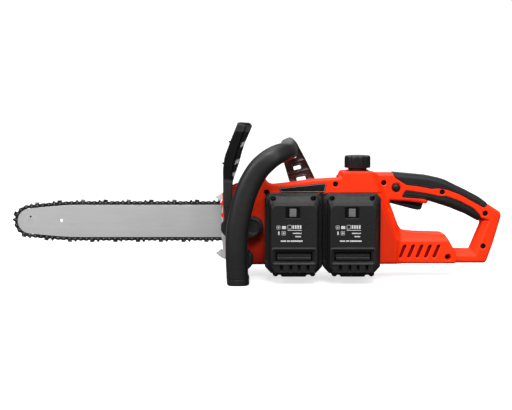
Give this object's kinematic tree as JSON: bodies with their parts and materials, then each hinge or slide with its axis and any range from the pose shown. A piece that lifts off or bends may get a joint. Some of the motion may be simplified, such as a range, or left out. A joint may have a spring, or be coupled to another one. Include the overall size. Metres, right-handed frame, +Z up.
{
  "type": "cordless chainsaw",
  "caption": "Battery chainsaw with a straight guide bar, a wrap-around front handle with a tilting hand guard, a rear loop handle with a trigger, and slide-on battery packs.",
  "frame": {"origin": "centre of the front handle's flat foot on the plane where the two housing halves meet, at the object's lowest level", "axes": "+X runs to the rear handle, so the guide bar points to -X; +Y is the side that carries the bar; +Z is up"},
  "size_m": [0.8024, 0.1775, 0.251],
  "materials": {
    "red_plastic": "satin orange-red moulded nylon with a fine grain",
    "soft_grip": "matt soft overmould",
    "black_plastic": "matt black moulding",
    "handle_plastic": "satin black moulding with a soft sheen",
    "trigger_plastic": "satin black moulding",
    "pack_plastic": "finely textured charcoal moulding",
    "grey_plastic": "grey button",
    "cell_block": "sleeved cells",
    "contact_metal": "sprung contacts",
    "bar_steel": "ground along its length",
    "plain_steel": "machined",
    "dark_steel": "oil blackened",
    "chain_steel": "blued steel links",
    "spike_steel": "zinc plated",
    "screw_steel": "black oxide",
    "cast_aluminium": "die cast",
    "copper_winding": "laminations and windings",
    "tank_plastic": "translucent tank",
    "seal_rubber": "oil proof rubber",
    "board_green": "potted circuit board"
  },
  "bodies": {
    "housing": {"left_housing": "red_plastic", "right_housing": "red_plastic", "upper_grip": "soft_grip", "lower_grip": "soft_grip", "badge_plate": "black_plastic", "battery_dock": "black_plastic", "terminal_comb_1": "contact_metal", "terminal_comb_2": "contact_metal", "front_handle": "handle_plastic", "bumper_spikes": "spike_steel", "bar_plate": "cast_aluminium", "bar_stud": "plain_steel", "outer_bearing": "plain_steel", "inner_bearing": "plain_steel", "gear_case": "cast_aluminium", "brake_band": "dark_steel", "motor_stator": "copper_winding", "saw_chain": "chain_steel", "sprocket_cover": "red_plastic", "oil_tank": "tank_plastic", "oil_pump": "black_plastic", "oil_hose": "seal_rubber", "switch_body": "black_plastic", "controller_board": "board_green", "housing_screw_1": "screw_steel", "housing_screw_2": "screw_steel", "housing_screw_3": "screw_steel", "housing_screw_4": "screw_steel", "housing_screw_5": "screw_steel", "housing_screw_6": "screw_steel", "housing_screw_7": "screw_steel"},
    "guard": {"hand_guard": "handle_plastic", "guard_shaft": "plain_steel"},
    "trigger": {"trigger": "trigger_plastic"},
    "lock_off": {"lock_off_button": "trigger_plastic"},
    "cap_lift": {"oil_cap_seal": "seal_rubber"},
    "cap": {"oil_cap": "black_plastic"},
    "pack_1": {"pack1_case_front": "pack_plastic", "pack1_case_back": "pack_plastic", "pack1_cells": "cell_block"},
    "latch_1": {"pack1_latch": "pack_plastic"},
    "gauge_1": {"pack1_gauge_button": "grey_plastic"},
    "pack_2": {"pack2_case_front": "pack_plastic", "pack2_case_back": "pack_plastic", "pack2_cells": "cell_block"},
    "latch_2": {"pack2_latch": "pack_plastic"},
    "gauge_2": {"pack2_gauge_button": "grey_plastic"},
    "knob": {"lock_knob": "black_plastic"},
    "dial": {"tension_dial": "black_plastic"},
    "bar": {"guide_bar": "bar_steel", "nose_rivet": "plain_steel", "tension_pin": "plain_steel"},
    "nose": {"nose_sprocket": "dark_steel"},
    "drive": {"output_gear": "plain_steel", "output_shaft": "plain_steel", "brake_drum": "dark_steel", "drive_sprocket": "dark_steel"},
    "motor": {"motor_rotor": "plain_steel", "motor_pinion": "plain_steel", "motor_fan": "black_plastic"}
  },
  "joints": [
    {"name": "guard_tilt", "type": "hinge", "parent": "housing", "child": "guard", "pos_m": [0.0176, 0, 0.0869], "axis": [0, -1, 0], "range_deg": [0, 22]},
    {"name": "trigger_pull", "type": "hinge", "parent": "housing", "child": "trigger", "pos_m": [0.249, 0, 0.1335], "axis": [0, -1, 0], "range_deg": [0, 10]},
    {"name": "lock_off_push", "type": "slide", "parent": "housing", "child": "lock_off", "axis": [0, 1, 0], "range_m": [0, 0.0025]},
    {"name": "cap_raise", "type": "slide", "parent": "housing", "child": "cap_lift", "axis": [0, 0, 1], "range_m": [0, 0.03]},
    {"name": "cap_turn", "type": "hinge", "parent": "cap_lift", "child": "cap", "pos_m": [0.1918, 0, 0.185], "axis": [0, 0, 1], "continuous": true},
    {"name": "pack_1_slide", "type": "slide", "parent": "housing", "child": "pack_1", "axis": [0, 0, -1], "range_m": [0, 0.12]},
    {"name": "latch_1_push", "type": "slide", "parent": "pack_1", "child": "latch_1", "axis": [0, 1, 0], "range_m": [0, 0.004]},
    {"name": "gauge_1_push", "type": "slide", "parent": "pack_1", "child": "gauge_1", "axis": [0, 1, 0], "range_m": [0, 0.0006]},
    {"name": "pack_2_slide", "type": "slide", "parent": "housing", "child": "pack_2", "axis": [0, 0, -1], "range_m": [0, 0.12]},
    {"name": "latch_2_push", "type": "slide", "parent": "pack_2", "child": "latch_2", "axis": [0, 1, 0], "range_m": [0, 0.004]},
    {"name": "gauge_2_push", "type": "slide", "parent": "pack_2", "child": "gauge_2", "axis": [0, 1, 0], "range_m": [0, 0.0006]},
    {"name": "knob_turn", "type": "hinge", "parent": "housing", "child": "knob", "pos_m": [0.005, 0.07, 0.0868], "axis": [0, 1, 0], "continuous": true},
    {"name": "bar_shift", "type": "slide", "parent": "housing", "child": "bar", "axis": [1, 0, 0], "range_m": [0, 0.006]},
    {"name": "dial_turn", "type": "hinge", "parent": "housing", "child": "dial", "pos_m": [0.005, 0.061, 0.0868], "axis": [0, 1, 0], "range_deg": [0, 260]},
    {"name": "drive_spin", "type": "hinge", "parent": "housing", "child": "drive", "pos_m": [0.0548, 0.02, 0.0868], "axis": [0, 1, 0], "continuous": true},
    {"name": "motor_spin", "type": "hinge", "parent": "housing", "child": "motor", "pos_m": [0.07916, -0.01, 0.10086], "axis": [0, 1, 0], "continuous": true},
    {"name": "nose_spin", "type": "hinge", "parent": "bar", "child": "nose", "pos_m": [-0.3494, 0.032, 0.0868], "axis": [0, 1, 0], "continuous": true}
  ],
  "couplings": [
    {"joint": "dial_turn", "follows": "bar_shift", "rad_per_m": 750},
    {"joint": "motor_spin", "follows": "drive_spin", "ratio": -3.5},
    {"joint": "nose_spin", "follows": "drive_spin", "ratio": 0.875}
  ]
}
